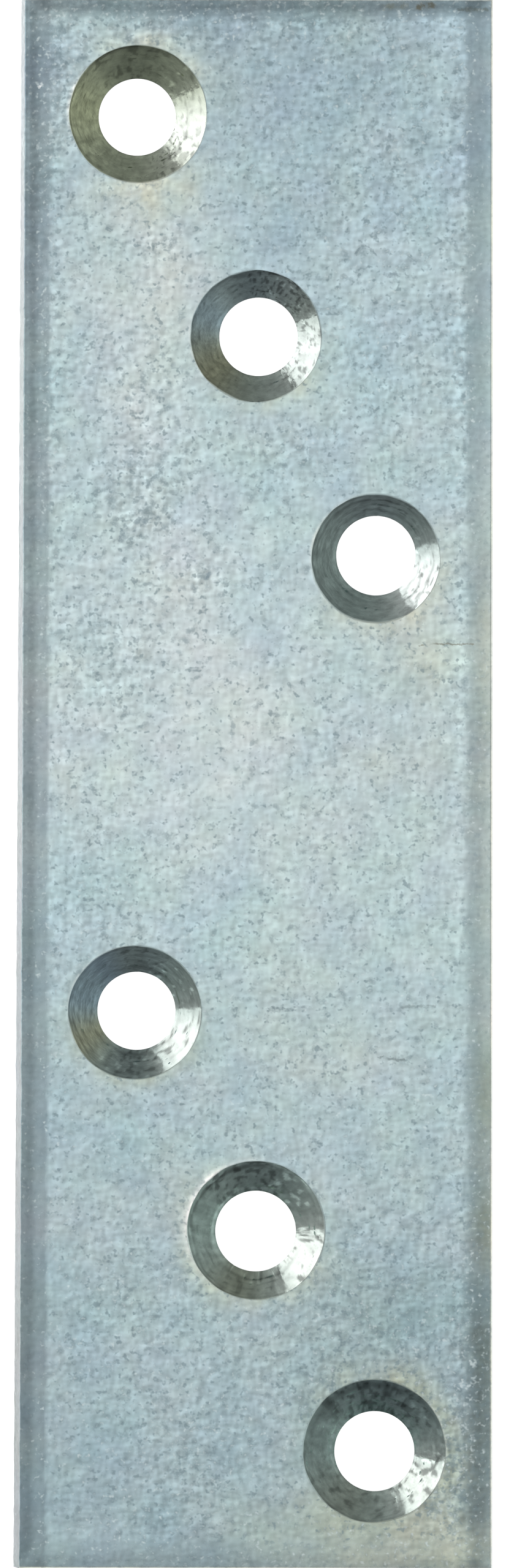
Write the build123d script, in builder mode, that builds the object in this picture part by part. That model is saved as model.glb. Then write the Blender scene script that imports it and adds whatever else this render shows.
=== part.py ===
from build123d import *
from math import radians, tan
import os

# Flat mending plate: one piece of zinc-plated strip steel, cropped to length, with six countersunk
# screw holes in two slanting rows of three. The cropping drew the face down all round its rim. The
# shear ran a little out of square, so the plate is wider at its near end, and it left the wall on
# the left leaning outwards.
# The plate lies on its back: X runs across the strip, Y along it, Z up through the face. The origin
# is on the back, under the middle of the hole pattern. Sizes are in millimetres.

# Strip
length = 100.0
face_width_near = 30.0
face_width_far = 29.7
face_offset = 0.1  # of the middle of the face, to the right of the hole pattern's
thickness = 2.5

# Long walls: how far the foot of each stands out past the face above it
left_lean_near = 0.5
left_lean_far = 0.25
right_lean = 0.05

# Rolled rim: how far in from each edge the face begins to fall, how far it falls, and the nose that
# rounds it into the walls. The left edge came off the blade nearly sharp.
roll_left = 1.5
roll_right = 1.9
roll_near = 1.9
roll_far = 1.65
roll_drop = 0.42
nose_radius = 0.3
nose_radius_left = 0.06

# Holes: two rows of three, each slanting from the left edge at its far end to the right at its near
bore_diameter = 5.1
end_distance = 7.5
pitch_across = 7.6
pitch_along = 14.0

# Countersinks, from the far left hole to the near right one: each was sunk by hand feed to a depth
# of its own, and the tool ran a little off the punched bores
sink_angle = 90.0
sink_diameters = (8.8, 8.4, 8.25, 8.55, 8.85, 9.15)
sink_drifts = ((0, 0.12), (-0.08, 0), (-0.03, -0.14), (-0.09, -0.07), (0.05, 0.08), (0, 0.05))

half_length = length / 2
rim_height = thickness - roll_drop
trim = 2 * thickness  # how far each trimming cut reaches past the strip
strip_width = face_width_near + 2 * left_lean_near + trim
row_middle = half_length - end_distance - pitch_along
hole_centres = [
    (step * pitch_across, row_y - step * pitch_along)
    for row_y in (row_middle, -row_middle)
    for step in (-1, 0, 1)
]

with BuildPart() as mending_plate:
    with BuildSketch():
        Rectangle(strip_width, length)
    extrude(amount=thickness)

    # Each long edge is trimmed to its leaning wall and the arc of its rim, by a cut lofted from the
    # near end to the far one, because the width and the lean change on the way
    left_side = (-1, roll_left, nose_radius_left, left_lean_near, left_lean_far)
    right_side = (1, roll_right, nose_radius, right_lean, right_lean)
    for side, roll, nose, lean_near, lean_far in (left_side, right_side):
        near_cut = (-half_length, face_width_near, lean_near)
        far_cut = (half_length, face_width_far, lean_far)
        for end_y, face_width, lean in (near_cut, far_cut):
            edge = face_offset + side * face_width / 2
            outside = side * (strip_width / 2 + trim)
            with BuildSketch(Plane.XZ.offset(-end_y)) as long_cut:
                with BuildLine():
                    wall = Line((edge + side * lean, 0), (edge, rim_height))
                    rim_arc = TangentArc((edge - side * roll, thickness), wall @ 1, tangent=(side, 0))
                    Polyline(
                        rim_arc @ 0,
                        (edge - side * roll, thickness + trim),
                        (outside, thickness + trim),
                        (outside, -trim),
                        (edge + side * lean, -trim),
                        wall @ 0,
                    )
                make_face()
                fillet(long_cut.vertices().sort_by_distance(wall @ 1)[0], radius=nose)
        loft(ruled=True, mode=Mode.SUBTRACT)

    # Each cropped end has an upright wall, and a rim whose arc is cut right across the strip
    for side, roll in ((-1, roll_near), (1, roll_far)):
        end_y = side * half_length
        with BuildSketch(Plane.YZ.offset(-strip_width / 2)) as end_cut:
            with BuildLine():
                rim_arc = TangentArc(
                    (end_y - side * roll, thickness), (end_y, rim_height), tangent=(side, 0)
                )
                Polyline(
                    rim_arc @ 0,
                    (end_y - side * roll, thickness + trim),
                    (end_y + side * trim, thickness + trim),
                    (end_y + side * trim, -trim),
                    (end_y, -trim),
                    rim_arc @ 1,
                )
            make_face()
            fillet(end_cut.vertices().sort_by_distance(rim_arc @ 1)[0], radius=nose_radius)
        extrude(amount=strip_width, mode=Mode.SUBTRACT)

    # Bores are punched right through
    with Locations(*[(x, y, thickness) for x, y in hole_centres]):
        Hole(radius=bore_diameter / 2)

    # Each countersink is a cone that ends in a point on the tool's own axis
    for (x, y), (drift_x, drift_y), diameter in zip(hole_centres, sink_drifts, sink_diameters):
        with Locations((x + drift_x, y + drift_y, thickness)):
            Cone(
                bottom_radius=0,
                top_radius=diameter / 2,
                height=diameter / 2 / tan(radians(sink_angle / 2)),
                align=(Align.CENTER, Align.CENTER, Align.MAX),
                mode=Mode.SUBTRACT,
            )

mending_plate.part.label = "mending_plate"
os.makedirs("parts", exist_ok=True)
export_step(mending_plate.part, "parts/mending_plate.step")
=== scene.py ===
import bmesh
import bpy
import math
import numpy as np
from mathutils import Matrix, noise


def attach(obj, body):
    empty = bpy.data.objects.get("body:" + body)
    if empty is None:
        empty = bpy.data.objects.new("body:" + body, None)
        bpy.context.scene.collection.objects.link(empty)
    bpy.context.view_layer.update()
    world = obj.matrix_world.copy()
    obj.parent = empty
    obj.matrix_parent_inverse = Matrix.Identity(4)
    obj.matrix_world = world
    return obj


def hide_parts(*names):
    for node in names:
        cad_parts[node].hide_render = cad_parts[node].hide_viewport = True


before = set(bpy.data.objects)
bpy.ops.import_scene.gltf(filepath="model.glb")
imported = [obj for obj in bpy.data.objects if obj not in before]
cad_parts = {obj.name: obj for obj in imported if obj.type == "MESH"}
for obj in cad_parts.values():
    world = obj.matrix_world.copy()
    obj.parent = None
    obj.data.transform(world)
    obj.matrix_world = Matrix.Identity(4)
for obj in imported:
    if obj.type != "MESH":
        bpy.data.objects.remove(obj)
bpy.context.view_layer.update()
mm = 0.001  # the settings below are in millimetres

# The plate's own sizes: the face at each end, the rolled rim, the walls and the strip's gauge
plate = {
    "halfLength": 50.0,
    "thickness": 2.5,
    "widthNear": 30.0,
    "widthFar": 29.7,
    "faceOffset": 0.1,
    "rollDrop": 0.42,
    "rollLeft": 1.5,
    "rollRight": 1.9,
    "rollNear": 1.9,
    "rollFar": 1.65,
    "nose": 0.3,
    "noseLeft": 0.06,
    "leanLeftNear": 0.41,
    "leanLeftFar": 0.25,
    "leanRight": 0.05,
    "crestWander": 0.03,  # how far the sheared left crest strays, and its columns that follow
    "crestOut": 2.2,
    "crestColumns": 5,
    "columnPitch": 0.95,
    "columnsAside": 14,  # how many stand each side of the middle one
    "extraColumns": (12.65, 12.9, 13.12),  # where the rolled bands end
    "rowPitch": 0.35,
    "rowsFrom": 8.9,  # outwards of this the rows stand close, to fit the holes' patches
    "rowsTo": 48.1,  # beyond it are the rim's own rows
    "middleRows": 50,
    "cellHalf": (5.7, 5.6),  # of the patch of face left out round each hole
    "cornerJoin": 4,  # how sharply two rims meet at a corner
    "wallTear": 0.02,
    "wallLevels": (0.97, 0.92, 0.84, 0.74, 0.62, 0.5, 0.38, 0.26, 0.15, 0.06, 0),
    "creaseAngle": 32,  # degrees at which an edge shades sharp
}

# One entry a hole: middle, countersink diameter, the tool's drift, and how its cut came out.
# film and light: the base colour, then colours by side in degrees and how far round each reaches;
# over the steel's own tinted film the sides are painted light: a painted highlight on the side
# facing the key card, painted shade at the top and painted reflections between
# lines: how far down the cone, width, shade, side and reach round; the light ones are a painted
# highlight along a rim, the dark ones painted shade
# cracks and glints: how fine round and down, cover, side, reach round and shade; a shade above 1
# is a painted glint, a darker one a mark of the rough cut that also breaks up the painted highlight
holes = {
    "segments": 216,
    "ringPitch": 0.4,
    "tread": 0.86,  # the share of a terrace that its tread takes
    "treadParts": (0, 0.22, 0.44, 0.66),  # where its rings of points lie
    "terraces": 0.05,  # the share of their true height that they are given
    "lip": 0.012,  # the soft drop of the face at the countersink's edge
    "collar": (0.82, 0.55, 0.32, 0.16, 0.08, 0.045, 0.02, 0),  # rings of face from patch to edge
    "edgeNicks": (0.03, 0.035),  # small sharp ones, and wide soft ones
    "boreNibs": 0.035,
    "chatterDepth": 0.012,
    "tornDepth": 0.006,
    "sunkBy": 0.02,  # keeps the relief under the true cone
    "boreRings": (0.9, 0.5, 0.1, 0),
    "mottle": 0.2,
    "lineStray": 0.04,
    "crackSoftness": 0.4,
    "sinks": [
        {"at": (-7.6, 42.5), "across": 8.8, "drift": (0, 0.12), "bore": 2.46,
         "boreDrift": (-0.07, 0), "chatter": 0.25, "pitch": 0.7, "treadSlope": 35, "stray": 0.9,
         "seed": 3, "lift": 0.27, "marks": (7, 3.0),
         "filmAndLight": [(0, (146, 156, 136)), (-22, (222, 228, 220), 44), (170, (144, 152, 124), 50),
                  (95, (102, 110, 95), 46)],
         "lines": [(0.12, 0.06, 1.25, 170, 40), (0.55, 0.07, 0.8, -20, 60),
                   (0.07, 0.06, 0.66, 110, 44)],
         "cracksAndGlints": [(9, 5, 0.05, 100, 52, 0.6), (5, 7, 0.15, -5, 62, 0.68),
                    (14, 7, 0.1, -48, 34, 0.5), (9, 5, 0.3, 50, 40, 1.7),
                    (6, 2, 0.0, 195, 80, 1.2), (16, 2, 0.1, 225, 50, 0.84)]},
        {"at": (0, 28.5), "across": 8.4, "drift": (-0.08, 0), "bore": 2.5,
         "boreDrift": (0.09, 0), "chatter": 0.25, "pitch": 0.85, "treadSlope": 36, "stray": 0.8,
         "seed": 11, "lift": 0.25, "marks": (9, 3.0),
         "filmAndLight": [(0, (138, 152, 145)), (-20, (212, 220, 216), 42), (60, (136, 148, 146), 24),
                  (95, (98, 111, 113), 36), (160, (130, 150, 156), 34), (218, (136, 141, 120), 34)],
         "lines": [(0.1, 0.06, 0.7, 95, 60)],
         "cracksAndGlints": [(11, 6, 0.1, -18, 52, 0.42), (15, 7, 0.05, 66, 50, 0.42),
                    (13, 6, 0.3, 45, 40, 1.9), (3, 2, 0.1, 180, 70, 1.12),
                    (16, 1.5, 0.1, 215, 50, 0.84)]},
        {"at": (7.6, 14.5), "across": 8.25, "drift": (-0.03, -0.14), "bore": 2.53,
         "boreDrift": (0, 0.06), "chatter": 0.35, "pitch": 1.0, "treadSlope": 36, "stray": 0.3,
         "seed": 23, "lift": 0.24, "marks": (4, 3.6),
         "filmAndLight": [(0, (131, 148, 144)), (-28, (232, 239, 236), 44), (90, (107, 120, 121), 48)],
         "lines": [(0.27, 0.05, 0.62, 100, 45), (0.6, 0.06, 1.12, 100, 40),
                   (0.3, 0.05, 0.5, -24, 30), (0.56, 0.045, 0.45, -36, 24),
                   (0.82, 0.04, 0.55, -28, 28)],
         "cracksAndGlints": [(4, 8, 0.2, -25, 36, 0.35), (9, 4, 0.35, -30, 40, 0.45),
                    (10, 5, 0.35, 30, 30, 1.6), (6, 6, 0.3, 80, 60, 0.7)]},
        {"at": (-7.6, -14.5), "across": 8.55, "drift": (-0.09, -0.07), "bore": 2.49,
         "boreDrift": (0, 0), "chatter": 0.35, "pitch": 0.85, "treadSlope": 35, "stray": 0.4,
         "seed": 31, "lift": 0.24, "marks": (4, 4.0),
         "filmAndLight": [(0, (138, 156, 151)), (-32, (213, 221, 216), 44), (118, (118, 138, 152), 45),
                  (205, (144, 150, 128), 26), (160, (128, 150, 158), 26),
                  (90, (108, 122, 122), 30), (-94, (116, 130, 128), 24)],
         "lines": [(0.85, 0.06, 0.6, -80, 70), (0.3, 0.05, 0.8, -20, 60), (0.85, 0.1, 0.6, 75, 40)],
         "cracksAndGlints": [(4, 7, 0.25, -32, 40, 0.42), (7, 6, 0.1, -92, 36, 0.55),
                    (8, 5, 0.35, -100, 34, 1.6), (9, 5, 0.3, 42, 38, 2.0),
                    (9, 6, 0.2, 75, 40, 0.6), (4, 3, 0.15, 190, 50, 1.2)]},
        {"at": (0, -28.5), "across": 8.85, "drift": (0.05, 0.08), "bore": 2.57,
         "boreDrift": (0.02, -0.03), "chatter": 1.0, "pitch": 0.9, "treadSlope": 36, "stray": 0.5,
         "seed": 47, "lift": 0.22, "marks": (9, 1.0),
         "filmAndLight": [(0, (148, 166, 160)), (-30, (215, 222, 216), 46), (165, (150, 172, 165), 38),
                  (250, (136, 146, 132), 30), (85, (118, 134, 132), 42)],
         "lines": [(0.09, 0.06, 1.35, 140, 60), (0.2, 0.06, 0.5, 115, 70),
                   (0.75, 0.05, 0.6, -80, 40), (0.12, 0.1, 1.5, 45, 30), (0.9, 0.06, 1.3, 160, 50)],
         "cracksAndGlints": [(9, 2.2, 0.15, -30, 42, 0.36), (7, 5, 0.4, -30, 42, 0.4),
                    (7, 6, 0.2, 52, 34, 2.1), (8, 7, 0.0, 100, 55, 0.48),
                    (7, 1.5, 0.1, -98, 36, 0.65), (8, 2, 0.3, -100, 36, 1.5)]},
        {"at": (7.6, -42.5), "across": 9.15, "drift": (0, 0.05), "bore": 2.55,
         "boreDrift": (0.02, -0.06), "chatter": 0.8, "pitch": 0.9, "treadSlope": 36, "stray": 0.5,
         "seed": 59, "lift": 0.2, "marks": (7, 2.0),
         "filmAndLight": [(0, (143, 164, 160)), (-36, (212, 220, 213), 46), (80, (112, 129, 130), 55),
                  (240, (134, 146, 137), 38)],
         "lines": [(0.12, 0.06, 0.7, 60, 60), (0.8, 0.06, 1.2, 170, 50), (0.2, 0.08, 0.6, 110, 50)],
         "cracksAndGlints": [(7, 5, 0.15, -36, 42, 0.36), (8, 3, 0.0, 95, 62, 0.55),
                    (10, 6, 0.1, 75, 70, 0.5), (8, 4, 0.35, 20, 50, 1.6),
                    (6, 5, 0.1, -120, 50, 0.62), (4, 2, 0.15, 180, 60, 1.12)]},
    ],
}


def linear(red, green, blue):  # a display colour, 0 to 255, as the shader's linear one
    return tuple(
        c / 12.92 if c <= 0.04045 else ((c + 0.055) / 1.055) ** 2.4
        for c in (red / 255, green / 255, blue / 255)
    )


def smooth(low, high, value):
    t = np.clip((value - low) / (high - low), 0, 1)
    return t * t * (3 - 2 * t)


def wander(x, y, z, depth=2):  # smooth noise about 0, roughly -1 to 1
    return noise.fractal((x, y, z), 1.0, 2.0, depth)


# The face's colour down its length, from the near end to the far one: lighter in the middle, darker
# towards both ends
zincAlong = [
    (-50, (160, 179, 184)),
    (-42, (162, 181, 186)),
    (-34, (166, 185, 189)),
    (-26, (173, 192, 196)),
    (-16, (178, 198, 200)),
    (-6, (184, 203, 205)),
    (4, (188, 205, 207)),
    (12, (186, 204, 206)),
    (22, (180, 200, 203)),
    (32, (176, 196, 201)),
    (42, (170, 190, 196)),
    (50, (163, 183, 189)),
]

# Soft stains on it: middle, reach both ways, colour and strength. Those on the rolled bands, near
# the plate's edges, also deepen or lighten the bands' painted shade in places
stainsAndBandShade = [
    ((-6.5, 31), (5.0, 5.5), (201, 211, 208), 0.9),
    ((-7.5, 24), (5.5, 6), (194, 208, 210), 0.8),
    ((-4.5, 15), (5.5, 6), (197, 209, 211), 0.8),
    ((-5, 6), (7, 8), (202, 212, 212), 0.9),
    ((-5, -1), (6, 5), (196, 208, 209), 0.6),
    ((-9, 2), (5, 6), (194, 208, 209), 0.5),
    ((3, 0), (6, 6), (194, 206, 207), 0.5),
    ((11, 8), (4, 3.5), (192, 202, 194), 0.9),
    ((9, 2), (5, 3), (184, 198, 198), 0.4),
    ((3, 36), (6, 4), (166, 186, 193), 0.6),
    ((2, 45), (7, 4), (156, 177, 186), 0.7),
    ((5, 20), (7, 5), (176, 197, 201), 0.4),
    ((-12, 40), (3, 4), (184, 203, 206), 0.6),
    ((-11, -14), (4, 6), (168, 188, 194), 0.6),
    ((-10, -22), (6, 6), (168, 188, 194), 0.6),
    ((6, -17), (6, 3.5), (187, 199, 197), 0.7),
    ((3, -11), (5, 4), (186, 202, 203), 0.4),
    ((-5, -26), (4, 3), (180, 194, 192), 0.6),
    ((9, -34), (7, 5), (151, 171, 173), 0.8),
    ((0, -37), (6, 4), (160, 180, 178), 0.4),
    ((-8, -36), (8, 8), (163, 183, 188), 0.5),
    ((-10, -45), (7, 4), (157, 177, 182), 0.6),
    ((9, -47.5), (8, 3.2), (172, 179, 164), 0.9),
    ((1, -47), (4, 2.5), (162, 178, 172), 0.7),
    ((14.7, 22), (1.2, 6), (198, 214, 212), 0.9),
    ((13.8, 5), (1.6, 8), (206, 223, 221), 0.7),
    ((14.6, -41), (0.8, 5), (124, 138, 138), 0.6),
    ((-11, 44), (3, 6), (186, 205, 210), 0.5),
    ((-12.6, 49.2), (1.8, 1.6), (204, 222, 224), 0.9),
    ((-5, 48.7), (4, 0.9), (146, 166, 170), 0.7),
    ((-3, -48.7), (3, 1.2), (140, 158, 162), 0.6),
    ((-14.2, 40), (0.9, 6), (160, 178, 184), 0.6),
    ((-14.2, -42), (0.9, 8), (172, 193, 198), 0.6),
    ((13.6, -48), (2.2, 2.2), (190, 198, 184), 0.9),
    ((14.7, 8), (1.0, 9), (206, 212, 196), 0.8),
    ((14.7, -6), (1.0, 7), (190, 202, 192), 0.6),
    ((14.7, -20), (1.1, 6), (168, 178, 164), 0.8),
    ((14.8, -28), (1.1, 4), (146, 156, 146), 0.9),
    ((14.6, -38.5), (1.5, 8), (118, 130, 128), 1.0),
    ((14.0, -44.5), (1.3, 5), (120, 134, 136), 0.7),
    ((-14.3, 40), (1.0, 6), (160, 176, 180), 0.6),
    ((-12, 32), (2.5, 6), (192, 208, 209), 0.5),
    ((-12.5, 48.7), (2.6, 1.6), (190, 206, 207), 0.9),
    ((-6.5, 35.5), (4.5, 3), (204, 214, 212), 0.5),
    ((-6.5, 24), (3.5, 4), (212, 220, 216), 0.5),
    ((-2.6, 2), (2.6, 5.5), (214, 220, 216), 0.5),
    ((9.6, 34), (3.5, 2.5), (196, 210, 212), 0.5),
    ((12.5, 0), (3.5, 6), (180, 194, 196), 0.4),
    ((-4.5, -36), (6.5, 6), (182, 198, 200), 0.5),
    ((12.3, 47.5), (1.6, 3), (182, 202, 206), 0.8),
    ((9, -49.3), (6, 1.3), (196, 200, 182), 0.9),
]

# Where the face is pitted more, or less, than elsewhere: middle, reach both ways and how much
pitting = [
    ((-7.2, 18.5), (2.8, 4.2), 0.6),
    ((-3.4, 13.2), (1.5, 1.5), 0.6),
    ((-6.5, 34.2), (1.5, 1.2), 0.45),
    ((-9, 8), (3, 4), 0.35),
    ((-8, 26), (3, 3), 0.3),
    ((1.5, 21), (3, 2), 0.3),
    ((-10, -8), (4, 6), 0.2),
    ((-5, -44), (4, 5), 0.35),
    ((-8, -34), (5, 6), 0.25),
    ((3, -38), (4, 3), 0.2),
    ((-3, 3), (3, 5), -0.15),
    ((8, 40), (6, 9), 0.25),
    ((9, 27), (4, 6), 0.2),
    ((8, -36), (7, 9), 0.3),
    ((-9, 42), (5, 7), 0.15),
    ((13.8, 5), (1, 12), 0.3),
    ((-13.8, 44), (1.2, 6), 0.5),
    ((0, 49.8), (16, 1.3), 1.1),
    ((-4, 47.6), (7, 1.2), 0.35),
    ((-13.5, 30), (0.8, 22), 0.6),
    ((-12.4, 45.5), (2, 4), 0.45),
    ((13.2, 30), (0.7, 20), 0.4),
    ((13.4, -40), (1.2, 6), 0.5),
    ((12, -45), (3, 4), 0.5),
    ((13.8, -32), (1.0, 14), 0.4),
    ((0, -49.5), (15, 1.0), 0.4),
]


def wearAt(x, y):
    base = coatAndShade["wear"]
    for (sx, sy), (rx, ry), more in pitting:
        spread = ((x - sx) / rx) ** 2 + ((y - sy) / ry) ** 2
        if spread < 6:
            base += more * math.exp(-spread)
    return base


# Halos that the tool's coolant left round a countersink, and thin painted highlights along its
# edge:
# its number, width, colour, the side, how far round and strength
halosAndEdgeGlints = [
    (0, 1.2, (198, 206, 193), 80, 66, 0.75),
    (0, 2.3, (204, 208, 193), -80, 40, 0.9),
    (1, 0.8, (196, 205, 192), -75, 60, 0.75),
    (2, 1.1, (197, 202, 188), -60, 70, 0.75),
    (3, 0.6, (180, 190, 174), -80, 90, 0.6),
    (4, 0.9, (186, 194, 176), -100, 90, 0.6),
    (4, 0.6, (190, 200, 188), 170, 60, 0.5),
    (5, 1.2, (164, 171, 154), 60, 90, 0.65),
    (5, 1.6, (166, 175, 160), -40, 90, 0.6),
    # thin light rims on the countersinks' edges: a painted highlight
    (0, 0.14, (240, 244, 238), 168, 30, 0.8),
    (1, 0.07, (224, 232, 228), 185, 40, 0.5),
    (2, 0.1, (226, 234, 228), 160, 45, 0.6),
    (3, 0.06, (214, 224, 222), 150, 50, 0.5),
    (4, 0.22, (255, 255, 252), 150, 44, 1.0),
    (5, 0.07, (214, 222, 214), 10, 40, 0.6),
]

# The painted shade of the rolled bands beside the flat: its shade and cast, how wide each is at its
# near or left end and at the other, how crisply it ends there, how much lighter it is painted
# towards its edge, and the painted highlight line just inside it
rimPaintedShade = {
    "left": ((0.61, 0.61, 0.62), (1.75, 1.75), (0.84, 0.84), 0.3, 0.0),
    "right": ((0.63, 0.64, 0.64), (2.1, 1.86), (0.5, 0.84), 0.42, 0.05),
    "near": ((0.8, 0.81, 0.81), (2.2, 2.2), (0.7, 0.5), 0.2, 0.0),
    "far": ((0.68, 0.69, 0.69), (1.5, 1.35), (0.7, 0.84), 0.45, 0.03),
}

# the coat's stains, halos and wear, with the rolled bands' painted shade and painted highlight line
coatAndShade = {
    "stainEdge": 1.6,
    "stainDrift": 0.5,
    "haloRagged": 0.6,
    "rimRagged": 0.1,
    "rimShine": 0.45,  # what the rolled bands lose of the flat's matt finish
    # where the painted highlight line lies across each rolled band, and how wide it is
    "glintLineAt": 1.12,
    "glintLineWidth": 0.12,
    # how near the sharpest edge its pale paint sets in, partly worn zinc and partly a painted
    # highlight
    "bareAndGlintWithin": (0.16, 0.05),
    "wear": 0.3,
}

wall = {"tone": 1.05, "towardsFar": 0.3, "mottle": 0.1, "bareAndGlintFrom": 14.5, "finish": 0.8}


def bell(value):
    return math.exp(-(value**2))


def turnFrom(side, degrees):  # how far round from a side, -180 to 180
    return (degrees - side + 180) % 360 - 180


def blendTint(base, over, share):
    share = min(max(share, 0), 1)
    return tuple(b + (o - b) * share for b, o in zip(base, over))


def paintFace(x, y):
    k = 1
    while k < len(zincAlong) - 1 and y > zincAlong[k][0]:
        k += 1
    (y0, c0), (y1, c1) = zincAlong[k - 1], zincAlong[k]
    tint = blendTint(c0, c1, (y - y0) / (y1 - y0))
    drift = wander(x * 0.11, y * 0.11, 1.5, 3)
    # stains; those on the rolled bands also deepen or lighten their painted shade
    for (sx, sy), (rx, ry), colour, strength in stainsAndBandShade:
        spread = ((x - sx) / rx) ** 2 + ((y - sy) / ry) ** 2
        if spread < 4:
            share = strength * math.exp(-coatAndShade["stainEdge"] * spread)
            tint = blendTint(tint, colour, share * (1 + coatAndShade["stainDrift"] * drift))
    # coolant halos, and painted highlights along the countersinks' edges
    for number, width, colour, side, spread, strength in halosAndEdgeGlints:
        sink = holes["sinks"][number]
        dx, dy = x - sink["at"][0] - sink["drift"][0], y - sink["at"][1] - sink["drift"][1]
        out = math.hypot(dx, dy) - sink["across"] / 2
        if out < width * 2.5:
            off = turnFrom(side, math.degrees(math.atan2(dy, dx)))
            ragged = 1 + coatAndShade["haloRagged"] * wander(x * 0.8, y * 0.8, number + 4.2, 3)
            share = strength * bell(max(out, 0) / width) * bell(off / spread)
            tint = blendTint(tint, colour, share * ragged)
    tint, finish = linear(*tint), 1.0  # finish 1 is the matt of the flat, less is smoother
    half, length = faceWidth(y) / 2, plate["halfLength"]
    inward = {
        "left": x - plate["faceOffset"] + half,
        "right": plate["faceOffset"] + half - x,
        "near": length + y,
        "far": length - y,
    }
    # painted shade of the rolled bands, painted lighter towards each edge, with a painted highlight
    # line just inside
    darkened = [0.0, 0.0, 0.0]
    for name, (shade, widths, crisps, lift, glintLine) in rimPaintedShade.items():
        way = ((y / length if name in ("left", "right") else x / half) + 1) / 2
        width, crisp = (start + (end - start) * way for start, end in (widths, crisps))
        ragged = width * (1 + coatAndShade["rimRagged"] * wander(x * 1.3, y * 1.3, 8.8, 3))
        share = 1 - float(smooth(ragged * crisp, ragged, inward[name]))
        lifted = 1 + lift * float(smooth(0.5, 0, inward[name] / width))
        darkened = [d + (max(1 - s * lifted, 0) * share) ** 3 for d, s in zip(darkened, shade)]
        finish = min(finish, 1 - coatAndShade["rimShine"] * share)
        glintLine *= 1 + wander(x * 2.0, y * 2.0, 6.1)
        glintLine *= bell((inward[name] / width - coatAndShade["glintLineAt"]) / coatAndShade["glintLineWidth"])
        tint = tuple(t * (1 + glintLine) for t in tint)
    tint = tuple(t * (1 - d ** (1 / 3)) for t, d in zip(tint, darkened))
    edge = min(inward["right"], inward["near"], inward["far"])
    # the sharpest edge painted pale, partly worn zinc and partly a painted highlight
    bareAndGlint = float(smooth(*coatAndShade["bareAndGlintWithin"], edge))
    tint = blendTint(tint, bareEdgeAndGlint, bareAndGlint)
    return (*tint, finish)


bareEdgeAndGlint = linear(206, 209, 199)  # painted pale along the sharpest edge: partly where the zinc has worn off, partly a painted highlight where the edge mirrors the bright surroundings
wallTint = linear(170, 178, 180)
boreTint = (*linear(150, 156, 152), 0.0)
backTint = (*linear(176, 194, 198), 1.0)


def paintWall(x, y, z):
    tone = wall["tone"] + wall["towardsFar"] * y / plate["halfLength"]
    tone += wall["mottle"] * wander(y * 1.3 + x, z * 0.5, 2.2, 3)
    # the right wall is painted pale as well, partly worn zinc and partly a painted highlight
    tint = bareEdgeAndGlint if x > wall["bareAndGlintFrom"] else wallTint
    return (*(c * tone for c in tint), wall["finish"])


def paintSink(sink, around, down, x, y):
    # the side colours: the steel's own film, with a painted highlight where it faces the key card,
    # painted shade at the top and painted reflections between
    tint = sink["filmAndLight"][0][1]
    degrees = math.degrees(around)
    for side, colour, spread in sink["filmAndLight"][1:]:
        tint = blendTint(tint, colour, bell(turnFrom(side, degrees) / spread))
    mottle = 1 + holes["mottle"] * wander(x * 1.6, y * 1.6, sink["seed"], 4)
    # painted rings: light ones a painted highlight along a rim, dark ones painted shade
    for share, width, shade, side, spread in sink["lines"]:
        ragged = share + holes["lineStray"] * wander(x * 0.9, y * 0.9, share + 3.3)
        line = bell((down - ragged) / width) * bell(turnFrom(side, degrees) / spread)
        mottle *= 1 + (shade - 1) * line
    # marks of the rough cut that break up the painted highlight, and painted glints where the shade
    # is above 1
    for along, across, cover, side, spread, shade in sink["cracksAndGlints"]:
        off = abs(turnFrom(side, degrees))
        if off < spread:
            ux, uy = math.cos(around), math.sin(around)
            depth = wander(ux * along, uy * along, down * across + sink["seed"])
            crack = smooth(cover, cover + holes["crackSoftness"], depth)
            mottle *= 1 + (shade - 1) * float(crack * smooth(spread, spread * 0.6, off))
    return (*(c * mottle for c in linear(*tint)), sink["lift"])


# Coordinates for the tool's marks, which are finer round a hole than across it, or the other way
def turnedAt(x, y):
    sink = min(holes["sinks"], key=lambda s: math.hypot(x - s["at"][0], y - s["at"][1]))
    dx, dy = x - sink["at"][0] - sink["drift"][0], y - sink["at"][1] - sink["drift"][1]
    out = max(math.hypot(dx, dy), 0.01)
    around, across = sink["marks"]
    return dx / out * around, dy / out * around, out * across + sink["seed"]


def alongPlate(y, atNear, atFar):
    return atNear + (atFar - atNear) * (y / plate["halfLength"] + 1) / 2


def faceWidth(y):
    return alongPlate(y, plate["widthNear"], plate["widthFar"])


def faceEdges(y):
    return plate["faceOffset"] - faceWidth(y) / 2, plate["faceOffset"] + faceWidth(y) / 2


def rimHeight(inward, roll, nose):  # height of the face this far in from an edge
    top, drop = plate["thickness"], plate["rollDrop"]
    bend = (roll * roll + drop * drop) / (2 * drop)
    if inward >= roll:
        return top
    noseMiddle = top - bend + math.sqrt((bend - nose) ** 2 - (roll - nose) ** 2)
    if inward < roll + (nose - roll) * bend / (bend - nose):
        return noseMiddle + math.sqrt(max(nose * nose - (nose - inward) ** 2, 0))
    return top - bend + math.sqrt(bend * bend - (roll - inward) ** 2)


def faceHeight(x, y):
    half = faceWidth(y) / 2
    rims = (
        (x - plate["faceOffset"] + half, plate["rollLeft"], plate["noseLeft"]),
        (plate["faceOffset"] + half - x, plate["rollRight"], plate["nose"]),
        (plate["halfLength"] + y, plate["rollNear"], plate["nose"]),
        (plate["halfLength"] - y, plate["rollFar"], plate["nose"]),
    )
    # two rims flow into each other at a corner
    top, join = plate["thickness"], plate["cornerJoin"]
    drops = [top - rimHeight(max(inward, 0), roll, nose) for inward, roll, nose in rims]
    return top - sum(d**join for d in drops) ** (1 / join)


# Shares of the rim's breadth at which its points lie, closest together round the nose
rimSteps = [0, 0.004, 0.015, 0.033, 0.06, 0.095, 0.14, 0.2, 0.27]
rimSteps += [0.34, 0.42, 0.5, 0.58, 0.66, 0.75, 0.84, 0.92]


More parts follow.
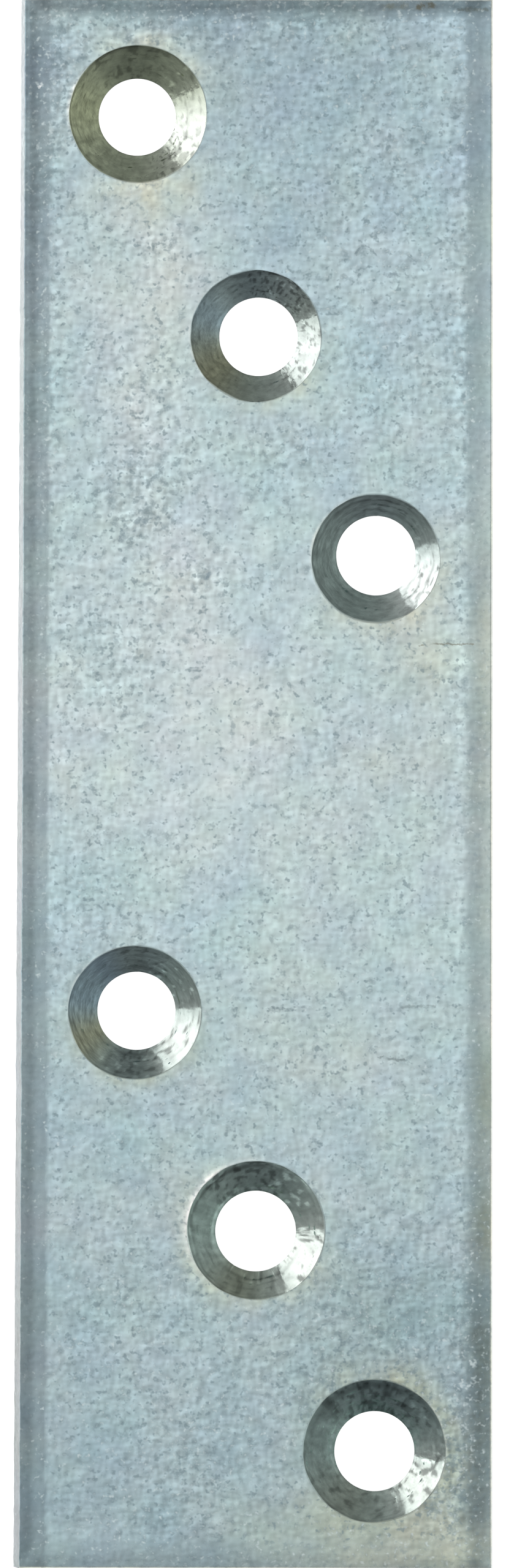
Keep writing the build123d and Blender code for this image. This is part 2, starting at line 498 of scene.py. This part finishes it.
def buildPlate():
    half, pitch, rowPitch = plate["halfLength"], plate["columnPitch"], plate["rowPitch"]
    cellX, cellY = plate["cellHalf"]
    inX, inY = plate["columnsAside"] * pitch, plate["rowsTo"]
    columns = [-inX + i * pitch for i in range(2 * plate["columnsAside"] + 1)]
    columns = sorted(columns + [side * x for side in (-1, 1) for x in plate["extraColumns"]])
    rowsFrom = plate["rowsFrom"]
    farRows = [inY - i * rowPitch for i in range(round((inY - rowsFrom) / rowPitch) + 1)]
    middle = np.linspace(-rowsFrom, rowsFrom, plate["middleRows"] + 2)[1:-1]
    rows = [-y for y in farRows] + list(middle) + farRows[::-1]
    points, tints, faces, kinds = [], [], [], []

    def add(x, y, z, tint):
        points.append((x, y, z))
        tints.append(tint)
        return len(points) - 1

    def plan(i, low, high, inner, reach):
        # i counts columns or rows from the low edge; the rim's own follow the edges
        edge = len(rimSteps)
        if i < edge:
            return low + rimSteps[i] * (-reach - low)
        if i < edge + len(inner):
            return inner[i - edge]
        return high - rimSteps[2 * edge + len(inner) - 1 - i] * (high - reach)

    across, along = 2 * len(rimSteps) + len(columns), 2 * len(rimSteps) + len(rows)
    grid = {}
    for j in range(along):
        y = plan(j, -half, half, rows, inY)
        for i in range(across):
            x = plan(i, *faceEdges(y), columns, inX)
            inPatch = any(
                abs(x - hx) < cellX - 0.01 and abs(y - hy) < cellY - 0.01
                for hx, hy in (sink["at"] for sink in holes["sinks"])
            )
            if not inPatch:
                grid[i, j] = add(x, y, faceHeight(x, y), paintFace(x, y))
    # the sheared left crest strays outwards a little
    follow = plate["crestColumns"]
    for j in range(along):
        y = plan(j, -half, half, rows, inY)
        stray = plate["crestWander"] * (wander(y * 1.7, 3.1, 0.4, 4) - plate["crestOut"])
        for i in range(follow):
            x0, y0, z0 = points[grid[i, j]]
            points[grid[i, j]] = (x0 + stray * (1 - i / follow), y0, z0)
    for j in range(along - 1):
        for i in range(across - 1):
            corner = [(i, j), (i + 1, j), (i + 1, j + 1), (i, j + 1)]
            if all(c in grid for c in corner):
                faces.append([grid[c] for c in corner])
                kinds.append(0)
    print("face grid", len(faces), "faces")

    # collars and countersinks
    bottoms = []
    for sink in holes["sinks"]:
        loop = cellLoop(grid, points, sink["at"])
        bottoms.append(sinkHole(sink, loop, points, faces, kinds, add))

    # walls, from the face's edge down to the back
    outline = [grid[i, 0] for i in range(across)]
    outline += [grid[across - 1, j] for j in range(1, along)]
    outline += [grid[i, along - 1] for i in range(across - 2, -1, -1)]
    outline += [grid[0, j] for j in range(along - 2, 0, -1)]
    last = outline
    rimTop = plate["thickness"] - plate["rollDrop"]
    for level in plate["wallLevels"]:
        ring = []
        for k in outline:
            x, y, z = points[k]
            newZ = z * level
            share = 1 - newZ / rimTop
            leanLeft = alongPlate(y, plate["leanLeftNear"], plate["leanLeftFar"])
            left, right = faceEdges(y)
            tear = plate["wallTear"] * max(0, wander(y * 0.9, newZ * 1.4, 7.7, 3))
            tear *= smooth(0, 0.3, 1 - level)
            if x < left + 0.12:
                x = x - leanLeft * share + tear * min(1, level * 8)
            elif x > right - 0.001:
                x = x + plate["leanRight"] * share - tear * min(1, level * 8)
            ring.append(add(x, y, newZ, paintWall(x, y, newZ)))
        for k in range(len(ring)):
            n = (k + 1) % len(ring)
            faces.append([last[n], last[k], ring[k], ring[n]])
            kinds.append(0)
        last = ring
    print("walls done,", len(points), "points")
    return points, tints, faces, kinds, last, bottoms


def cellLoop(grid, points, middle):  # the grid's own points round a hole's patch
    cellX, cellY = plate["cellHalf"]
    hx, hy = middle
    found = []
    for index in grid.values():
        x, y, _ = points[index]
        onX = abs(abs(x - hx) - cellX) < 0.01 and abs(y - hy) < cellY + 0.01
        onY = abs(abs(y - hy) - cellY) < 0.01 and abs(x - hx) < cellX + 0.01
        if onX or onY:
            found.append((math.atan2(y - hy, x - hx), index))
    return sorted(found)


def zipLoops(outer, inner, faces, kinds, kind):
    # joins two loops of (angle, point) with triangles, going round by angle
    i, j, outN, inN = 0, 0, len(outer), len(inner)
    while i < outN or j < inN:
        nextOut = outer[i + 1][0] if i + 1 < outN else outer[0][0] + 2 * math.pi
        nextIn = inner[j + 1][0] if j + 1 < inN else inner[0][0] + 2 * math.pi
        a, b = outer[i % outN][1], inner[j % inN][1]
        if j >= inN or (i < outN and nextOut <= nextIn):
            faces.append([a, outer[(i + 1) % outN][1], b])
            i += 1
        else:
            faces.append([a, inner[(j + 1) % inN][1], b])
            j += 1
        kinds.append(kind)


def sinkHole(sink, loop, points, faces, kinds, add):
    hx, hy = sink["at"]
    cx, cy = hx + sink["drift"][0], hy + sink["drift"][1]
    edge, bore, top = sink["across"] / 2, sink["bore"], plate["thickness"]
    boreX, boreY = sink["boreDrift"]
    count, seed, lip = holes["segments"], sink["seed"], holes["lip"]
    sharp, soft = holes["edgeNicks"]
    cellX, cellY = plate["cellHalf"]
    angles = [-math.pi + (k + 0.5) * 2 * math.pi / count for k in range(count)]
    reach = []
    for a in angles:  # from the bore's middle out to the countersink's edge
        ux, uy = math.cos(a), math.sin(a)
        along = ux * sink["drift"][0] + uy * sink["drift"][1]
        rest = sink["drift"][0] ** 2 + sink["drift"][1] ** 2 - edge * edge
        nick = sharp * max(0, wander(ux * 9, uy * 9, seed, 3) - 0.25)
        nick += soft * wander(ux * 2.4, uy * 2.4, seed + 2)
        reach.append(along + math.sqrt(along * along - rest) + nick)
    # collar on the face: rings that widen from the edge to the patch's border
    last = None
    for step in holes["collar"]:
        ring = []
        for a, r in zip(angles, reach):
            ux, uy = math.cos(a), math.sin(a)
            border = min(cellX / max(abs(ux), 1e-6), cellY / max(abs(uy), 1e-6))
            out = r + step * (border - r)
            x, y = hx + ux * out, hy + uy * out
            tint = paintFace(x, y)
            ring.append(add(x, y, faceHeight(x, y) - (lip if step == 0 else 0), tint))
        if last is None:
            zipLoops(loop, list(zip(angles, ring)), faces, kinds, 0)
        else:
            stitch(last, ring, faces, kinds, 0)
        last = ring
    # down the cone: the tool's feed left it in low terraces, with chatter and the odd torn spot
    steps = round((edge - bore) / (holes["ringPitch"] * sink["pitch"]))
    tread, treadSlope = holes["tread"], math.tan(math.radians(sink["treadSlope"]))
    parts = (*holes["treadParts"], tread)
    for row in range(1, len(parts) * steps + 1):
        ring = []
        step, part = divmod(row, len(parts))
        along = (step + parts[part]) / steps
        fade = smooth(0, 0.1, along) * smooth(1, 0.8, along)
        for a, r in zip(angles, reach):
            ux, uy = math.cos(a), math.sin(a)
            nib = holes["boreNibs"] * max(0, wander(ux * 7, uy * 7, seed + 5, 3) - 0.2)
            nib *= smooth(0.9, 1, along)
            stray = wander(ux * 1.7, uy * 1.7, seed + step * 0.37, 3) * sink["stray"] / steps
            down = min(along + stray * fade, 1)
            out = r + (bore + nib - r) * down
            x, y = hx + ux * out + boreX * down, hy + uy * out + boreY * down
            fromTool = math.hypot(x - cx, y - cy)
            around = math.atan2(y - cy, x - cx)
            span = (r - bore) / steps
            level = parts[part] * span * (1 - treadSlope) * holes["terraces"]
            waver = 2.2 * wander(fromTool * 0.8, around, seed)
            beat = math.sin(around * 23 + waver + fromTool * 0.9)
            torn = wander(x * 2.6, y * 2.6, seed + 9, 3)
            chatter = sink["chatter"] * holes["chatterDepth"] * beat * smooth(0.05, 0.25, along)
            relief = level + chatter + holes["tornDepth"] * torn
            z = top - lip - (edge - fromTool) + (relief - holes["sunkBy"]) * fade
            ring.append(add(x, y, min(z, top - lip), paintSink(sink, around, along, x, y)))
        stitch(last, ring, faces, kinds, 1)
        last = ring
    # the punched bore, straight down to the back
    start = [points[k][2] for k in last]
    mx, my = hx + boreX, hy + boreY
    for share in holes["boreRings"]:
        ring = [
            add(mx + bore * math.cos(a), my + bore * math.sin(a), z * share, boreTint)
            for a, z in zip(angles, start)
        ]
        stitch(last, ring, faces, kinds, 1)
        last = ring
    return last


def stitch(outer, inner, faces, kinds, kind):  # quads between two rings of as many points
    for k in range(len(outer)):
        n = (k + 1) % len(outer)
        faces.append([outer[k], outer[n], inner[n], inner[k]])
        kinds.append(kind)


def closeBack(bm, rims):  # the flat back, filled between the outline and the six bores
    edges = []
    for rim in rims:
        for a, b in zip(rim, rim[1:] + rim[:1]):
            pair = (bm.verts[a], bm.verts[b])
            edges.append(bm.edges.get(pair) or bm.edges.new(pair))
    made = bmesh.ops.triangle_fill(bm, edges=edges, use_beauty=True, normal=(0, 0, -1))
    return [g for g in made["geom"] if isinstance(g, bmesh.types.BMFace)]


def place(name, data):
    made = bpy.data.objects.new(name, data)
    bpy.context.scene.collection.objects.link(made)
    return made


points, tints, faces, kinds, foot, bottoms = buildPlate()
mesh = bpy.data.meshes.new("zincPlate")
mesh.from_pydata([(x * mm, y * mm, z * mm) for x, y, z in points], [], faces)
turned = mesh.attributes.new("turned", "FLOAT_VECTOR", "POINT")
turned.data.foreach_set("vector", [c for x, y, _ in points for c in turnedAt(x, y)])
worn = mesh.attributes.new("wear", "FLOAT", "POINT")
worn.data.foreach_set("value", [wearAt(x, y) for x, y, _ in points])
bm = bmesh.new()
bm.from_mesh(mesh)
bm.verts.ensure_lookup_table()
bm.faces.ensure_lookup_table()
for face, kind in zip(bm.faces, kinds):
    face.material_index = kind
    face.smooth = True
for face in closeBack(bm, [foot] + bottoms):
    face.material_index = 0
bmesh.ops.recalc_face_normals(bm, faces=bm.faces)
for edge in bm.edges:
    if len(edge.link_faces) == 2:
        edge.smooth = edge.calc_face_angle() < math.radians(plate["creaseAngle"])
bm.to_mesh(mesh)
bm.free()
# painted by face corner, so that the bores' bare steel doesn't run out over the back
cornerPoints = np.empty(len(mesh.loops), np.int32)
mesh.loops.foreach_get("vertex_index", cornerPoints)
cornerTints = np.array(tints, np.float32)[cornerPoints]
cornerTints[mesh.polygons[len(faces)].loop_start:] = backTint
paint = mesh.color_attributes.new("paint", "FLOAT_COLOR", "CORNER")
paint.data.foreach_set("color", cornerTints.ravel())
zincPlate = place("zincPlate", mesh)
triangles = sum(len(p.vertices) - 2 for p in mesh.polygons)
print("plate", len(mesh.polygons), "faces,", triangles, "triangles")


def addNode(tree, kind, settings=None, **values):  # values go to the sockets, settings to the node
    made = tree.nodes.new("ShaderNode" + kind)
    for name, value in (settings or {}).items():
        setattr(made, name, value)
    for name, value in values.items():
        socket = made.inputs[int(name[1:]) if name[1:].isdigit() else name.replace("_", " ")]
        if isinstance(value, bpy.types.NodeSocket):
            tree.links.new(value, socket)
        else:
            socket.default_value = value
    return made


def reckon(tree, operation, a, b=0.0):
    return addNode(tree, "Math", {"operation": operation}, n0=a, n1=b).outputs[0]


def plus(tree, a, b):
    return reckon(tree, "ADD", a, b)


def times(tree, a, b):
    return reckon(tree, "MULTIPLY", a, b)


def between(tree, share, base, over):  # base at share 0, over at share 1
    rest = times(tree, base, reckon(tree, "SUBTRACT", 1.0, share))
    return plus(tree, rest, times(tree, over, share))


def vectors(tree, operation, a, b=(0, 0, 0), c=(0, 0, 0)):
    made = addNode(tree, "VectorMath", {"operation": operation}, n0=a, n1=b, n2=c)
    return made.outputs["Value" if operation in ("DOT_PRODUCT", "DISTANCE") else "Vector"]


def scaled(tree, vector, share):
    made = addNode(tree, "VectorMath", {"operation": "SCALE"}, n0=vector, Scale=share)
    return made.outputs["Vector"]


def ramp(tree, value, low, high, toLow=0.0, toHigh=1.0, kind="SMOOTHSTEP"):
    settings = {"interpolation_type": kind}
    made = addNode(tree, "MapRange", settings, n0=value, n1=low, n2=high, n3=toLow, n4=toHigh)
    return made.outputs[0]


def evenly(tree, value, toLow=0.0, toHigh=1.0, low=0.3, high=0.7):  # a noise spread over a range
    return ramp(tree, value, low, high, toLow, toHigh, "LINEAR")


def cloudy(tree, vector, scale, detail, roughness=0.5, distortion=0.0):
    values = {"Scale": scale, "Detail": detail, "Roughness": roughness, "Distortion": distortion}
    return addNode(tree, "TexNoise", Vector=vector, **values)


def mixTint(tree, share, base, over):
    made = addNode(tree, "Mix", {"data_type": "RGBA"})
    for number, value in ((0, share), (6, base), (7, over)):
        if isinstance(value, bpy.types.NodeSocket):
            tree.links.new(value, made.inputs[number])
        else:
            made.inputs[number].default_value = (*value, 1)
    return made.outputs[2]


def newGroup(name, inputs, outputs):
    group = bpy.data.node_groups.new(name, "ShaderNodeTree")
    for way, sockets in (("INPUT", inputs), ("OUTPUT", outputs)):
        for label, kind in sockets.items():
            kind = "NodeSocket" + kind
            group.interface.new_socket(name=label, in_out=way, socket_type=kind)
    return group, group.nodes.new("NodeGroupInput").outputs, group.nodes.new("NodeGroupOutput")


def newMaterial(name):
    material = bpy.data.materials.new(name)
    material.use_nodes = True
    tree = material.node_tree
    tree.nodes.clear()
    return material, tree, addNode(tree, "OutputMaterial").inputs[0]


# scale, detail, roughness and distortion of each noise; scale, way to the painted light and detail
# of each kind of raised grain, whose colour carries painted light and shade; and where each mask
# sets in and is full
zinc = {
    "alongGrain": ((3.2, 1.6, 3.0), (0.42, -0.1, 0), 0.0),
    "acrossGrain": ((1.6, 3.2, 3.0), (0.1, -0.42, 0), 0.0),
    "fineGrain": ((2.6, 2.9, 3.0), (0.3, -0.36, 0), 0.4),
    "heightShare": 0.26,
    "shadeShare": 0.22,
    "fineShare": 0.42,
    "level": 0.24,
    "smudges": (0.8, 2.0, 0.6, 0.5),
    "clouds": (0.3, 2.0, 0.5, 0.4),
    "cast": (0.22, 3.0, 0.6),
    "bright": (3.4, 1.0, 0.6),
    "deep": (3.0, 1.0, 0.5),
    "deepAway": (37.0, 19.0, 0.0),  # so that the pits don't follow the specks
    "etching": (1.7, 2.0, 0.6),
    "speckFrom": (0.62, 0.9),
    "deepFrom": (0.62, 0.8),
    "etchedFrom": (0.6, 0.82),
    "wornSpecks": 0.08,
    "wornPits": 0.1,
    "wornEtching": 0.15,
}

# Crystals of the zinc: pale specks, dark pits, the grain between them with painted light and shade
# on its raised crystals, smudges and a drifting cast
tree, given, made = newGroup(
    "zincGrain",
    {"Vector": "Vector", "Wear": "Float"},
    {
        "Specks": "Float",
        "Pits": "Float",
        "Grain": "Float",
        "Smudges": "Float",
        "Clouds": "Float",
        "Cast": "Color",
    },
)
zincGrain = tree
vector, wear = given["Vector"], given["Wear"]


def shadedGrain(scale, beside, detail):
    # painted light and shade: what stands up out of the grain is coloured lighter on one side and
    # darker on the other
    heights = []
    for shift in ((0, 0, 0), beside):
        moved = vectors(tree, "MULTIPLY_ADD", vector, scale, shift)
        heights.append(cloudy(tree, moved, 1.0, detail).outputs[0])
    return heights[0], reckon(tree, "SUBTRACT", *heights)


def wornNoise(at, kind, share):  # there is more of it where the zinc is worn
    cloud = cloudy(tree, at, *zinc[kind]).outputs[0]
    return plus(tree, cloud, times(tree, wear, zinc[share]))


# painted light and shade on the raised grain, lighter on the side towards the light
alongHeight, alongShade = shadedGrain(*zinc["alongGrain"])
acrossHeight, acrossShade = shadedGrain(*zinc["acrossGrain"])
fineShade = shadedGrain(*zinc["fineGrain"])[1]
height = times(tree, plus(tree, alongHeight, acrossHeight), zinc["heightShare"])
raisedShade = times(tree, plus(tree, alongShade, acrossShade), zinc["shadeShare"])
grain = plus(tree, plus(tree, height, raisedShade), zinc["level"])
grain = plus(tree, grain, times(tree, fineShade, zinc["fineShare"]))
deepAt = vectors(tree, "ADD", vector, zinc["deepAway"])
etched = ramp(tree, wornNoise(vector, "etching", "wornEtching"), *zinc["etchedFrom"])
deep = ramp(tree, wornNoise(deepAt, "deep", "wornPits"), *zinc["deepFrom"])
for name, value in (
    ("Specks", ramp(tree, wornNoise(vector, "bright", "wornSpecks"), *zinc["speckFrom"])),
    ("Pits", reckon(tree, "MAXIMUM", etched, deep)),
    ("Grain", grain),
    ("Smudges", cloudy(tree, vector, *zinc["smudges"]).outputs[0]),
    ("Clouds", cloudy(tree, vector, *zinc["clouds"]).outputs[0]),
    ("Cast", cloudy(tree, vector, *zinc["cast"]).outputs[1]),
):
    tree.links.new(value, made.inputs[name])

# Strokes on the face, such as scratches: start, reach, half width, colour and strength
strokes = {
    "shaking": (2.2, 3.0, 0.6),  # scale, detail and roughness
    "shake": 0.5,
    "wornFrom": (0.4, 0.55),
    "wornTo": 0.25,
    "core": 0.3,  # the share of the half width that is at full strength
    "each": [
        ((10.4, 8.85), (3.4, 0.1), 0.1, (126, 124, 110), 0.65),
        ((0.8, -14.35), (1.5, -0.04), 0.17, (112, 128, 134), 0.75),
        ((2.5, -14.2), (0.9, 0.02), 0.1, (126, 140, 146), 0.6),
        ((7.9, -17.4), (1.6, -0.2), 0.15, (112, 124, 126), 0.65),
        ((9.1, -14.2), (2.3, 0.1), 0.14, (122, 136, 138), 0.5),
        ((8.1, 32.45), (0.9, -0.02), 0.2, (122, 138, 146), 0.65),
        ((9.5, 32.3), (0.6, -0.05), 0.15, (128, 144, 150), 0.5),
        ((-13.9, 44.35), (0.1, 0.12), 0.13, (250, 252, 251), 0.8),
        ((10.3, 49.5), (0.8, 0.05), 0.34, (108, 106, 88), 0.8),
        ((8.0, 49.45), (1.4, 0.1), 0.3, (128, 132, 116), 0.5),
        ((12.9, 49.35), (1.7, -0.05), 0.2, (104, 114, 112), 0.75),
        ((-6.9, 18.9), (0.9, 1.1), 0.2, (130, 146, 152), 0.55),
        ((-7.6, 16.6), (1.4, 0.3), 0.26, (122, 140, 148), 0.6),
        ((-8.6, 15.6), (0.1, 0.4), 0.3, (118, 136, 146), 0.65),
        ((-3.3, 13.1), (0.3, 0.3), 0.26, (116, 134, 144), 0.65),
        ((-6.6, 34.3), (0.7, -0.1), 0.2, (122, 138, 142), 0.6),
    ],
}
tree, given, made = newGroup(
    "faceStrokes", {"Vector": "Vector", "Colour": "Color"}, {"Colour": "Color"}
)
faceStrokes = tree
flat = vectors(tree, "MULTIPLY", given["Vector"], (1, 1, 0))
shaky = cloudy(tree, flat, *strokes["shaking"])
worn = ramp(tree, shaky.outputs[0], *strokes["wornFrom"], strokes["wornTo"])
most = strokes["shake"]
least = (-most / 2, -most / 2, 0)
shift = vectors(tree, "MULTIPLY_ADD", shaky.outputs[1], (most, most, 0), least)
flat = vectors(tree, "ADD", flat, shift)
colour = given["Colour"]
for start, reach, width, tint, strength in strokes["each"]:
    away = vectors(tree, "SUBTRACT", flat, (*start, 0))
    along = vectors(tree, "DOT_PRODUCT", away, (*reach, 0))
    share = reckon(tree, "DIVIDE", along, reach[0] ** 2 + reach[1] ** 2)
    share.node.use_clamp = True
    gap = vectors(tree, "DISTANCE", away, scaled(tree, (*reach, 0), share))
    near = ramp(tree, gap, width, width * strokes["core"], 0.0, strength)
    colour = mixTint(tree, times(tree, near, worn), colour, linear(*tint))
tree.links.new(colour, made.inputs["Colour"])

# The tool's fine feed marks lie flatter than the cone they cover, so it shades as a shallower one
tree, given, made = newGroup("feedMarks", {"Lift": "Float"}, {"Normal": "Vector"})
feedMarks = tree
facing = addNode(tree, "NewGeometry").outputs["Normal"]
upward = addNode(tree, "CombineXYZ", n2=given["Lift"]).outputs[0]
leaned = vectors(tree, "NORMALIZE", vectors(tree, "ADD", facing, upward))
tree.links.new(leaned, made.inputs["Normal"])


def attribute(tree, name):
    return addNode(tree, "Attribute", {"attribute_name": name}).outputs


def newMetal(name):  # a metal and its shader, the paint and wear it carries, and its crystals
    material, tree, surface = newMaterial(name)
    shader = addNode(tree, "BsdfPrincipled", Metallic=1.0)
    tree.links.new(shader.outputs[0], surface)
    wear = attribute(tree, "wear")["Fac"]
    # the plate's own coordinates, in millimetres
    coords = scaled(tree, addNode(tree, "TexCoord").outputs["Object"], 1 / mm)
    grown = {"node_tree": zincGrain}
    crystals = addNode(tree, "Group", grown, Vector=coords, Wear=wear).outputs
    return material, tree, shader.inputs, attribute(tree, "paint"), wear, coords, crystals


def addBump(tree, look, inputs, **values):
    made = addNode(tree, "Bump", Strength=look["bump"], Distance=look["depth"] * mm, **values)
    tree.links.new(made.outputs[0], inputs["Normal"])


zincFace = {
    "speckColour": linear(222, 234, 234),
    "pitColour": linear(112, 131, 138),
    "speckShare": 0.46,
    "pitShare": 0.6,
    "grainSpread": 0.145,
    "smudgeSpread": 0.09,
    "bandFinish": 0.55,  # the finish of the rolled bands, and what they keep of the grain
    "bandGrain": 0.5,
    "wornGrain": (0.45, 2.05),  # worn zinc is grainier
    "cloudDark": (0.87, 0.895, 0.92),
    "cloudLight": (1.115, 1.1, 1.08),
    "castCool": (0.965, 0.995, 1.02),
    "castWarm": (1.035, 1.0, 0.98),
    "castGreen": (0.985, 1.014, 0.985),
    "castViolet": (1.015, 0.986, 1.015),
    "roughness": (0.36, 0.52),
    "bump": 0.22,
    "depth": 0.02,
}


def makeZinc(name, look):
    material, tree, inputs, paint, wear, coords, crystals = newMetal(name)
    tone = 1.0
    # the grain's tone carries painted light and shade on its raised crystals
    for kind, spread in (("Grain", look["grainSpread"]), ("Smudges", look["smudgeSpread"])):
        tone = times(tree, tone, evenly(tree, crystals[kind], 1 - spread, 1 + spread))
    rough = evenly(tree, paint["Alpha"], look["bandGrain"], 1.0, look["bandFinish"], 1.0)
    harsh = times(tree, rough, evenly(tree, wear, *look["wornGrain"], 0.0, 1.0))
    tone = plus(tree, 1.0, times(tree, reckon(tree, "SUBTRACT", tone, 1.0), harsh))
    colour = scaled(tree, paint["Color"], tone)
    cast = addNode(tree, "SeparateColor", Color=crystals["Cast"]).outputs
    for share, first, second in (
        (crystals["Clouds"], "cloudDark", "cloudLight"),
        (cast[0], "castCool", "castWarm"),
        (cast[1], "castGreen", "castViolet"),
    ):
        tint = mixTint(tree, evenly(tree, share), look[first], look[second])
        colour = vectors(tree, "MULTIPLY", colour, tint)
    pitted = times(tree, times(tree, crystals["Pits"], look["pitShare"]), rough)
    colour = mixTint(tree, pitted, colour, look["pitColour"])
    specked = times(tree, crystals["Specks"], look["speckShare"])
    colour = mixTint(tree, specked, colour, look["speckColour"])
    drawn = {"node_tree": faceStrokes}
    stroked = addNode(tree, "Group", drawn, Vector=coords, Colour=colour)
    tree.links.new(stroked.outputs["Colour"], inputs["Base Color"])
    dull = evenly(tree, crystals["Clouds"], *look["roughness"])
    tree.links.new(times(tree, dull, paint["Alpha"]), inputs["Roughness"])
    addBump(tree, look, inputs, Height=crystals["Grain"])
    return material


turnedSteel = {
    "marks": (1.0, 2.0),  # scale and detail
    "markTone": (0.94, 1.06),
    "markReach": (0.34, 0.66),
    "pitColour": linear(62, 70, 68),
    "pitShare": 0.15,
    "roughness": (0.08, 0.2),
    "bump": 0.6,
    "depth": 0.02,
}


def makeTurned(name, look):
    material, tree, inputs, paint, wear, coords, crystals = newMetal(name)
    toolMarks = cloudy(tree, attribute(tree, "turned")["Vector"], *look["marks"]).outputs[0]
    tone = evenly(tree, toolMarks, *look["markTone"], *look["markReach"])
    toned = scaled(tree, paint["Color"], tone)
    pitted = times(tree, crystals["Pits"], look["pitShare"])
    tree.links.new(mixTint(tree, pitted, toned, look["pitColour"]), inputs["Base Color"])
    tree.links.new(evenly(tree, toolMarks, *look["roughness"]), inputs["Roughness"])
    feed = addNode(tree, "Group", {"node_tree": feedMarks}, Lift=paint["Alpha"])
    addBump(tree, look, inputs, Height=toolMarks, Normal=feed.outputs[0])
    return material


mesh.materials.append(makeZinc("zincFace", zincFace))
mesh.materials.append(makeTurned("turnedSteel", turnedSteel))
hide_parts("mending_plate")
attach(zincPlate, "root")
print("materials done")

studio = {
    "floorReach": 8.0,
    "floorDrop": 0.01,
    "floorGlow": 0.93,
    "floorGrey": 0.3,  # of the lit paper
    "plainGrey": 0.8,  # as the plate meets it
    "tentRadius": 2.0,
    "overhead": 1.14,
    "overheadFrom": (0.74, 0.93),
    "leftSide": 0.62,
    "rightSide": 1.0,
    "farSide": 0.62,
    "nearSide": 0.75,
    "horizon": 0.43,
    "horizonTo": (0.22, 0.42),
    "key": 1.62,
    "keyAt": (-135, 62),  # the card stands to the left, level with the first holes
    "keyHalf": 98,
    "keyFoot": 14,
    "keyTop": 78,
}


def emission(tree, strength):
    return addNode(tree, "Emission", Color=(1, 1, 1, 1), Strength=strength).outputs[0]


def diffuse(tree, grey):
    return addNode(tree, "BsdfDiffuse", Color=(grey, grey, grey, 1)).outputs[0]


def mixShader(tree, share, base, over):
    return addNode(tree, "MixShader", n0=share, n1=base, n2=over).outputs[0]


def makeFloor():
    reach = studio["floorReach"]
    corners = [(-reach, -reach, 0), (reach, -reach, 0), (reach, reach, 0), (-reach, reach, 0)]
    floorMesh = bpy.data.meshes.new("studioFloor")
    floorMesh.from_pydata(corners, [], [(0, 1, 2, 3)])
    floor = place("studioFloor", floorMesh)
    floor.location.z = -studio["floorDrop"] * mm
    material, tree, surface = newMaterial("floorPaper")
    paper, glow = diffuse(tree, studio["floorGrey"]), emission(tree, studio["floorGlow"])
    both = addNode(tree, "AddShader", n0=paper, n1=glow).outputs[0]
    # it glows only where it is seen, so that it doesn't light the plate from below
    path = addNode(tree, "LightPath").outputs
    seen = reckon(tree, "MAXIMUM", path["Is Camera Ray"], path["Is Glossy Ray"])
    seen = reckon(tree, "MAXIMUM", seen, path["Is Transmission Ray"])
    mix = mixShader(tree, seen, diffuse(tree, studio["plainGrey"]), both)
    under = addNode(tree, "NewGeometry").outputs["Backfacing"]
    clear = addNode(tree, "BsdfTransparent").outputs[0]
    tree.links.new(mixShader(tree, under, mix, clear), surface)
    material.cycles.emission_sampling = "NONE"
    floorMesh.materials.append(material)


def makeTent():
    bm = bmesh.new()
    bmesh.ops.create_uvsphere(bm, u_segments=48, v_segments=24, radius=studio["tentRadius"])
    tentMesh = bpy.data.meshes.new("lightTent")
    bm.to_mesh(tentMesh)
    bm.free()
    tent = place("lightTent", tentMesh)
    tent.visible_camera = False
    material, tree, surface = newMaterial("tentLight")
    toward = vectors(tree, "NORMALIZE", addNode(tree, "NewGeometry").outputs["Position"])
    x, y, z = addNode(tree, "SeparateXYZ", Vector=toward).outputs
    flat = reckon(tree, "SQRT", plus(tree, times(tree, x, x), times(tree, y, y)))
    flat = reckon(tree, "MAXIMUM", flat, 0.001)
    east, north = reckon(tree, "DIVIDE", x, flat), reckon(tree, "DIVIDE", y, flat)
    sides = evenly(tree, east, studio["leftSide"], studio["rightSide"], -1, 1)
    ends = evenly(tree, north, studio["nearSide"], studio["farSide"], -1, 1)
    ring = between(tree, times(tree, east, east), ends, sides)
    low, high = ramp(tree, z, *studio["horizonTo"]), ramp(tree, z, *studio["overheadFrom"])
    level = between(tree, high, between(tree, low, studio["horizon"], ring), studio["overhead"])
    tree.links.new(emission(tree, level), surface)
    material.cycles.emission_sampling = "NONE"  # it is all round, so chance finds it soon enough
    tentMesh.materials.append(material)


def makeKeyCard():  # a lit card near the plate, which the countersinks mirror on one side
    cx, cy = studio["keyAt"]
    away = math.hypot(cx, cy)
    ux, uy = -cy / away, cx / away
    half, foot, top = studio["keyHalf"], studio["keyFoot"], studio["keyTop"]
    corners = [(-half, foot), (half, foot), (half, top), (-half, top)]
    corners = [((cx + ux * a) * mm, (cy + uy * a) * mm, z * mm) for a, z in corners]
    cardMesh = bpy.data.meshes.new("keyCard")
    cardMesh.from_pydata(corners, [], [(0, 1, 2, 3)])
    card = place("keyCard", cardMesh)
    card.visible_camera = False
    material, tree, surface = newMaterial("keyLight")
    tree.links.new(emission(tree, studio["key"]), surface)
    material.cycles.emission_sampling = "NONE"
    cardMesh.materials.append(material)


makeFloor()
makeTent()
makeKeyCard()
world = bpy.data.worlds.new("studio")
bpy.context.scene.world = world
world.use_nodes = True
sky = world.node_tree.nodes["Background"].inputs
sky[0].default_value, sky[1].default_value = (1, 1, 1, 1), 1.0
world.cycles.sampling_method = "NONE"

camera = {
    "away": 900.0,  # above the face
    "seen": 99.8,  # how much of the plate its frame takes in
    "at": (-0.078, -0.016),
    "turn": 0.12,
    "sensor": 36,
    "clips": (0.05, 20),
}
lens = bpy.data.cameras.new("camera")
lens.sensor_width = camera["sensor"]
lens.lens = camera["sensor"] * camera["away"] / camera["seen"]
lens.clip_start, lens.clip_end = camera["clips"]
eye = place("camera", lens)
eye.location = [c * mm for c in (*camera["at"], camera["away"] + plate["thickness"])]
eye.rotation_euler = (0, 0, math.radians(camera["turn"]))
bpy.context.scene.camera = eye
bpy.context.scene.view_settings.view_transform = "Standard"
print("studio done")
